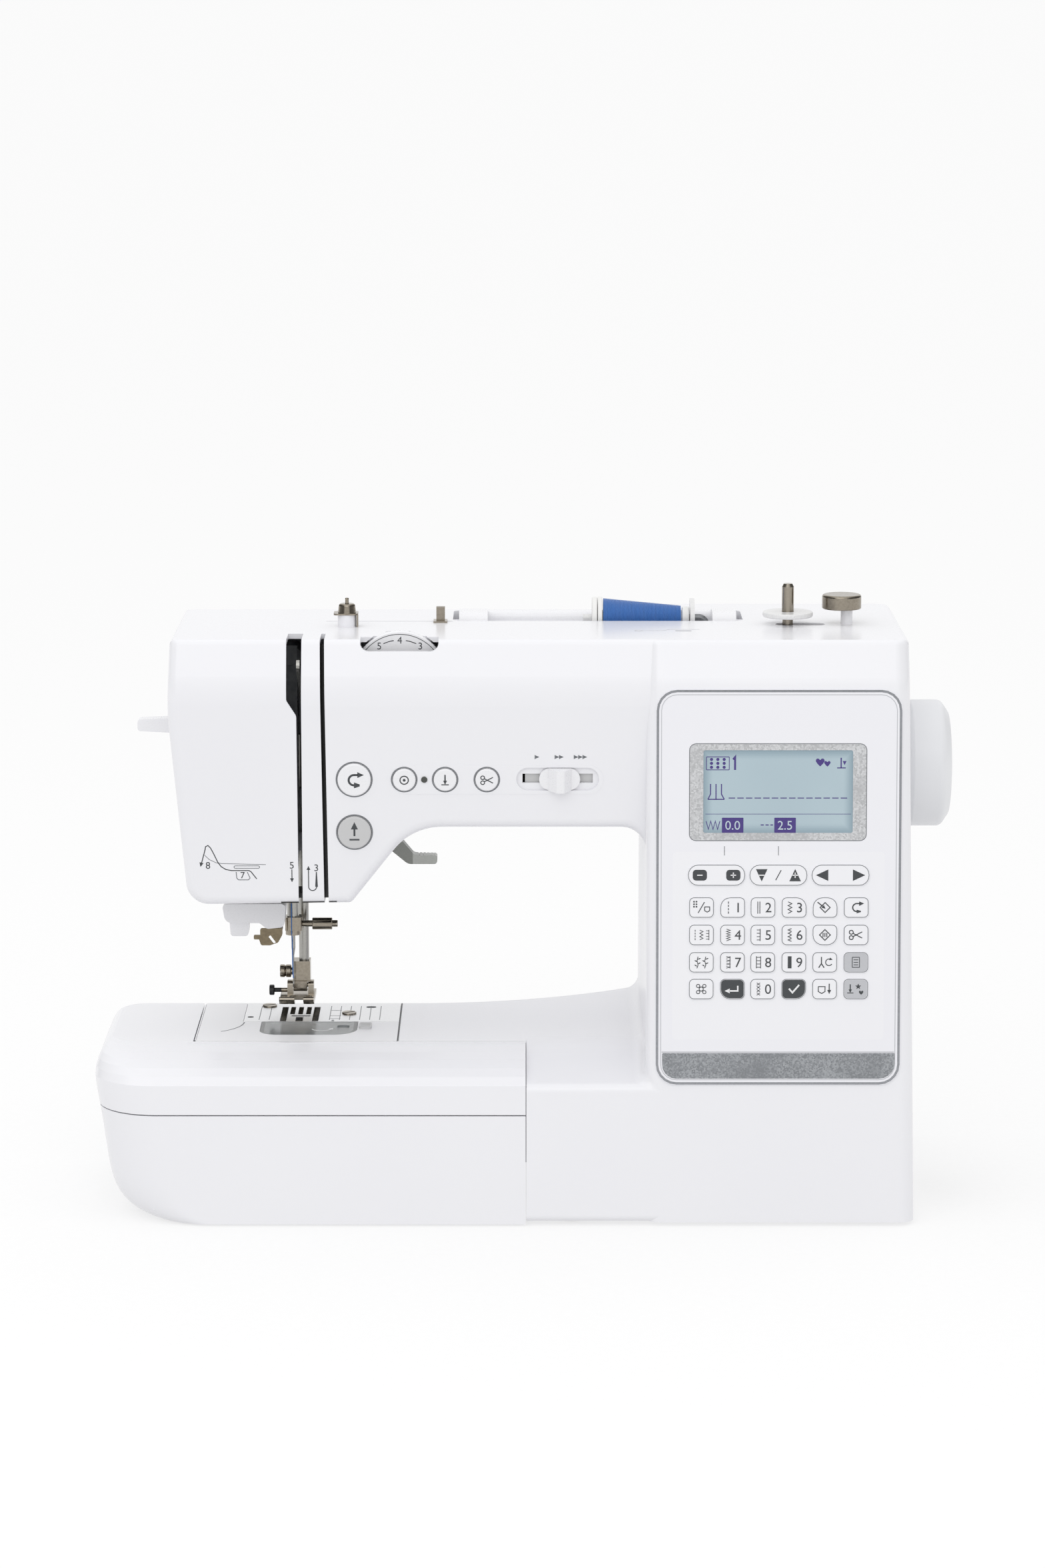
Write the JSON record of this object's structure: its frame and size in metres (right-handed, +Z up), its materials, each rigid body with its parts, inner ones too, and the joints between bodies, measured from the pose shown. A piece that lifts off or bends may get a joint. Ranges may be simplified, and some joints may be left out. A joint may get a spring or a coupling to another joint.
{
  "type": "sewing machine",
  "caption": "Computerised free-arm sewing machine with a pull-off extension table, stitch keypad, display, hand wheel, thread spool, raised presser foot and carry handle.",
  "frame": {"origin": "on the table top under the middle of the outline", "axes": "+X along the bed towards the hand wheel, +Y to the back, +Z up"},
  "size_m": [0.4192, 0.1781, 0.301],
  "materials": {
    "white_plastic": "satin moulded plastic",
    "cover_plastic": "satin moulded plastic",
    "panel_plastic": "printed plastic with a metallic edge",
    "keypad_film": "embossed polyester film",
    "display_glass": "clear window over a liquid crystal display",
    "grey_plastic": "satin moulded plastic",
    "wheel_plastic": "satin moulded plastic",
    "black_plastic": "moulded plastic",
    "foot_rubber": "moulded rubber",
    "belt_rubber": "moulded rubber",
    "clear_plastic": "clear moulded plastic",
    "plate_steel": "satin steel",
    "bright_steel": "nickel-plated steel",
    "shaft_steel": "ground steel",
    "cast_frame": "die-cast aluminium",
    "bronze": "sintered bronze",
    "circuit_board": "printed circuit board",
    "motor_can": "painted steel can",
    "blue_thread": "wound polyester thread",
    "spool_plastic": "moulded plastic"
  },
  "bodies": {
    "machine": {"front_casing": "white_plastic", "rear_casing": "white_plastic", "face_cover": "white_plastic", "top_cover": "white_plastic", "base_pan": "white_plastic", "rubber_feet": "foot_rubber", "free_arm_cover": "white_plastic", "plate_cover": "cover_plastic", "needle_plate": "plate_steel", "main_frame": "cast_frame", "shaft_bushes": "bronze", "control_panel": "panel_plastic", "display_window": "display_glass", "membrane_keypad": "keypad_film", "circuit_board": "circuit_board", "drive_motor": "motor_can", "power_inlet": "black_plastic", "winder_stop": "bright_steel", "thread_guides": "bright_steel", "spool_pin": "bright_steel", "bobbin_case": "black_plastic", "drive_belts": "belt_rubber"},
    "main_drive": {"hand_wheel": "wheel_plastic", "main_shaft": "shaft_steel", "needle_crank": "shaft_steel"},
    "motor_rotor": {"motor_pulley": "shaft_steel"},
    "lower_drive": {"lower_shaft": "shaft_steel"},
    "hook": {"rotary_hook": "bright_steel"},
    "needle_frame": {"needle_bar_frame": "cast_frame"},
    "needle_unit": {"needle_bar": "shaft_steel", "needle_clamp": "bright_steel", "clamp_screw": "bright_steel", "needle": "bright_steel"},
    "take_up": {"take_up_lever": "bright_steel"},
    "presser": {"presser_bar": "shaft_steel", "foot_holder": "bright_steel", "foot_screw": "bright_steel"},
    "foot": {"presser_foot": "bright_steel"},
    "lifter": {"presser_lever": "grey_plastic"},
    "feed": {"feed_dog": "shaft_steel"},
    "threader": {"needle_threader": "white_plastic", "threader_hook": "bronze"},
    "dial": {"tension_dial": "white_plastic"},
    "slider": {"speed_slider": "white_plastic"},
    "reverse": {"reverse_button": "white_plastic"},
    "reinforce": {"reinforce_button": "white_plastic"},
    "needle_position": {"needle_button": "white_plastic"},
    "cutter": {"cutter_button": "white_plastic"},
    "start_stop": {"start_button": "grey_plastic"},
    "switch": {"power_switch": "black_plastic"},
    "winder_carriage": {"winder_slide": "white_plastic"},
    "winder": {"winder_spindle": "bright_steel"},
    "handle": {"carry_handle": "white_plastic"},
    "spool": {"spool_core": "spool_plastic", "thread_winding": "blue_thread"},
    "cap": {"spool_cap": "spool_plastic"},
    "table": {"flat_bed_table": "white_plastic"},
    "drawer": {"accessory_drawer": "white_plastic"},
    "bobbin_reel": {"bobbin": "clear_plastic"},
    "bobbin_lid": {"bobbin_cover": "clear_plastic"}
  },
  "joints": [
    {"name": "wheel_turn", "type": "hinge", "parent": "machine", "child": "main_drive", "pos_m": [0.19, 0.008, 0.2096], "axis": [1, 0, 0], "continuous": true},
    {"name": "motor_turn", "type": "hinge", "parent": "machine", "child": "motor_rotor", "pos_m": [0.165, 0.04, 0.062], "axis": [1, 0, 0], "continuous": true},
    {"name": "lower_shaft_turn", "type": "hinge", "parent": "machine", "child": "lower_drive", "pos_m": [0.1, -0.013, 0.036], "axis": [1, 0, 0], "continuous": true},
    {"name": "hook_turn", "type": "hinge", "parent": "machine", "child": "hook", "pos_m": [-0.113, -0.013, 0.055], "axis": [0, 0, 1], "continuous": true},
    {"name": "needle_swing", "type": "hinge", "parent": "machine", "child": "needle_frame", "pos_m": [-0.116, 0.003, 0.262], "axis": [0, -1, 0], "range_deg": [0, 2.2]},
    {"name": "needle_stroke", "type": "slide", "parent": "needle_frame", "child": "needle_unit", "axis": [0, 0, -1], "range_m": [0, 0.03]},
    {"name": "take_up_swing", "type": "hinge", "parent": "machine", "child": "take_up", "pos_m": [-0.1098, 0.012, 0.238], "axis": [1, 0, 0], "range_deg": [0, 48]},
    {"name": "lifter_turn", "type": "hinge", "parent": "machine", "child": "lifter", "pos_m": [-0.084, 0.0236, 0.178], "axis": [0, 1, 0], "range_deg": [0, 50]},
    {"name": "presser_drop", "type": "slide", "parent": "machine", "child": "presser", "axis": [0, 0, -1], "range_m": [0, 0.0049]},
    {"name": "foot_tilt", "type": "hinge", "parent": "presser", "child": "foot", "pos_m": [-0.113, 0.019, 0.0945], "axis": [-1, 0, 0], "range_deg": [0, 5]},
    {"name": "feed_shift", "type": "slide", "parent": "machine", "child": "feed", "axis": [0, 1, 0], "range_m": [-0.002, 0.002]},
    {"name": "threader_drop", "type": "slide", "parent": "machine", "child": "threader", "axis": [0, 0, -1], "range_m": [0, 0.024], "stiffness_N_per_m": 12, "springref_m": -0.01},
    {"name": "dial_turn", "type": "hinge", "parent": "machine", "child": "dial", "pos_m": [-0.0606, -0.0495, 0.261], "axis": [0, 1, 0], "range_deg": [-120, 120]},
    {"name": "speed_shift", "type": "slide", "parent": "machine", "child": "slider", "axis": [1, 0, 0], "range_m": [-0.0105, 0.0085]},
    {"name": "reverse_press", "type": "slide", "parent": "machine", "child": "reverse", "axis": [0, 0.9952, 0.0978], "range_m": [0, 0.0012], "stiffness_N_per_m": 400},
    {"name": "reinforce_press", "type": "slide", "parent": "machine", "child": "reinforce", "axis": [0, 0.9952, 0.0978], "range_m": [0, 0.0012], "stiffness_N_per_m": 400},
    {"name": "needle_position_press", "type": "slide", "parent": "machine", "child": "needle_position", "axis": [0, 0.9952, 0.0978], "range_m": [0, 0.0012], "stiffness_N_per_m": 400},
    {"name": "cutter_press", "type": "slide", "parent": "machine", "child": "cutter", "axis": [0, 0.9952, 0.0978], "range_m": [0, 0.0012], "stiffness_N_per_m": 400},
    {"name": "start_stop_press", "type": "slide", "parent": "machine", "child": "start_stop", "axis": [0, 0.9952, 0.0978], "range_m": [0, 0.0012], "stiffness_N_per_m": 400},
    {"name": "switch_rock", "type": "hinge", "parent": "machine", "child": "switch", "pos_m": [0.183, -0.037, 0.035], "axis": [0, 1, 0], "range_deg": [-14, 0]},
    {"name": "winder_shift", "type": "slide", "parent": "machine", "child": "winder_carriage", "axis": [1, 0, 0], "range_m": [0, 0.006]},
    {"name": "winder_turn", "type": "hinge", "parent": "winder_carriage", "child": "winder", "pos_m": [0.1277, -0.008, 0.28], "axis": [0, 0, 1], "continuous": true},
    {"name": "handle_lift", "type": "hinge", "parent": "machine", "child": "handle", "pos_m": [0.035, 0.015, 0.277], "axis": [1, 0, 0], "range_deg": [0, 90]},
    {"name": "spool_turn", "type": "hinge", "parent": "machine", "child": "spool", "pos_m": [0.058, 0.015, 0.281], "axis": [1, 0, 0], "continuous": true},
    {"name": "cap_pull", "type": "slide", "parent": "machine", "child": "cap", "axis": [-1, 0, 0], "range_m": [0, 0.012]},
    {"name": "table_pull", "type": "slide", "parent": "machine", "child": "table", "axis": [-1, 0, 0], "range_m": [0, 0.2]},
    {"name": "drawer_pull", "type": "slide", "parent": "table", "child": "drawer", "axis": [0, -1, 0], "range_m": [0, 0.035]},
    {"name": "bobbin_turn", "type": "hinge", "parent": "machine", "child": "bobbin_reel", "pos_m": [-0.113, -0.013, 0.064], "axis": [0, 0, 1], "continuous": true},
    {"name": "bobbin_lid_lift", "type": "slide", "parent": "machine", "child": "bobbin_lid", "axis": [0, 0, 1], "range_m": [0, 0.015]}
  ],
  "couplings": [
    {"joint": "motor_turn", "follows": "wheel_turn", "ratio": 3.25},
    {"joint": "lower_shaft_turn", "follows": "wheel_turn", "ratio": 1},
    {"joint": "hook_turn", "follows": "wheel_turn", "ratio": -2},
    {"joint": "lifter_turn", "follows": "presser_drop", "rad_per_m": 178}
  ]
}
